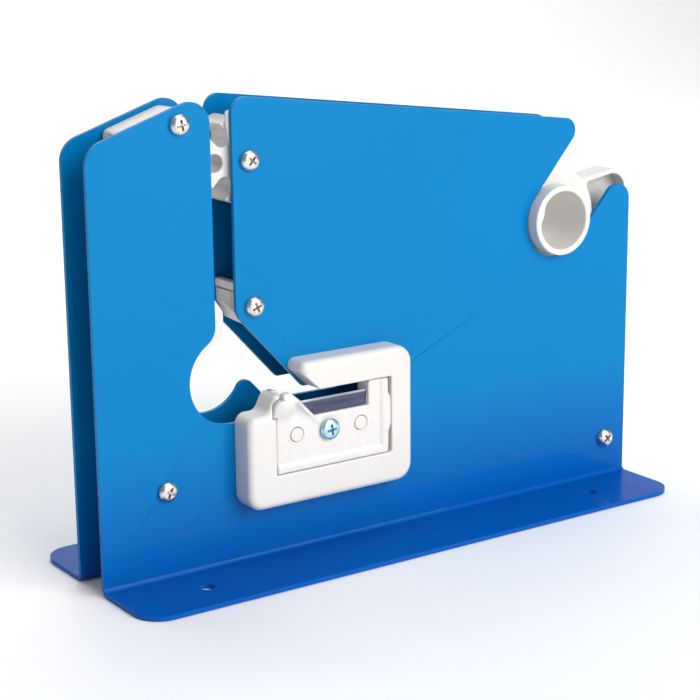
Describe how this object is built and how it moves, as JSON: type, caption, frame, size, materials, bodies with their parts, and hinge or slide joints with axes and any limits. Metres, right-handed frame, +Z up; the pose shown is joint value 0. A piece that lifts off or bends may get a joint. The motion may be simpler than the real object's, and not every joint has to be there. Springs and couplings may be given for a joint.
{
  "type": "bag neck tape sealer",
  "caption": "Bench sealer with folded steel side plates, a neck slot with a star wheel and presser arm, a drop-in tape core holder and a side neck trimmer.",
  "frame": {"origin": "centre of the bottom of the bounding box, on the surface that the flanges stand on", "axes": "+X from the neck slot end to the tape end, +Y from the trimmer side to the back, +Z up"},
  "size_m": [0.219, 0.0746, 0.1509],
  "materials": {
    "enamel": "glossy enamel on folded sheet steel",
    "white_plastic": "satin to glossy injection moulding",
    "zinc": "bright zinc plate",
    "blade_steel": "ground steel, darkened, with a bright edge",
    "spring_steel": "plain drawn wire and sheet"
  },
  "bodies": {
    "base": {"front_plate": "enamel", "back_plate": "enamel", "arm_post": "zinc", "wheel_post": "zinc", "knife_post": "zinc", "spacer_left": "zinc", "spacer_right": "zinc", "screw_front_arm": "zinc", "screw_front_wheel": "zinc", "screw_front_knife": "zinc", "screw_front_left": "zinc", "screw_front_right": "zinc", "screw_back_arm": "zinc", "screw_back_wheel": "zinc", "screw_back_knife": "zinc", "screw_back_left": "zinc", "screw_back_right": "zinc", "presser_spring": "spring_steel", "wheel_guide_front": "white_plastic", "wheel_guide_back": "white_plastic", "knife_spring": "spring_steel", "trimmer_body": "white_plastic", "trimmer_insert": "white_plastic", "trimmer_blade": "blade_steel", "trimmer_screw": "zinc", "trimmer_nut": "zinc", "trimmer_fixing_screw_left": "zinc", "trimmer_fixing_screw_right": "zinc"},
    "arm": {"presser_arm": "white_plastic", "spring_pin": "zinc"},
    "wheel": {"star_wheel": "white_plastic"},
    "knife": {"knife_holder": "white_plastic", "tape_knife": "blade_steel"},
    "hub": {"hub_tube": "white_plastic", "hub_clip": "spring_steel"},
    "core": {"core_wheel": "white_plastic"}
  },
  "joints": [
    {"name": "arm_pivot", "type": "hinge", "parent": "base", "child": "arm", "pos_m": [-0.0779, 0, 0.1441], "axis": [0, 1, 0], "range_deg": [0, 6], "stiffness_Nm_per_rad": 0.06, "springref_deg": -22.92, "deforming": ["presser_spring"]},
    {"name": "wheel_spin", "type": "hinge", "parent": "base", "child": "wheel", "pos_m": [-0.0535, 0, 0.1313], "axis": [0, 1, 0], "continuous": true},
    {"name": "knife_pivot", "type": "hinge", "parent": "base", "child": "knife", "pos_m": [-0.0529, 0, 0.0849], "axis": [0, 1, 0], "range_deg": [0, 8], "stiffness_Nm_per_rad": 0.02, "springref_deg": -22.92, "deforming": ["knife_spring"]},
    {"name": "hub_lift", "type": "slide", "parent": "base", "child": "hub", "axis": [0.6561, 0, 0.7547], "range_m": [0, 0.035]},
    {"name": "core_spin", "type": "hinge", "parent": "hub", "child": "core", "pos_m": [0.0719, 0, 0.0998], "axis": [0, 1, 0], "continuous": true}
  ]
}
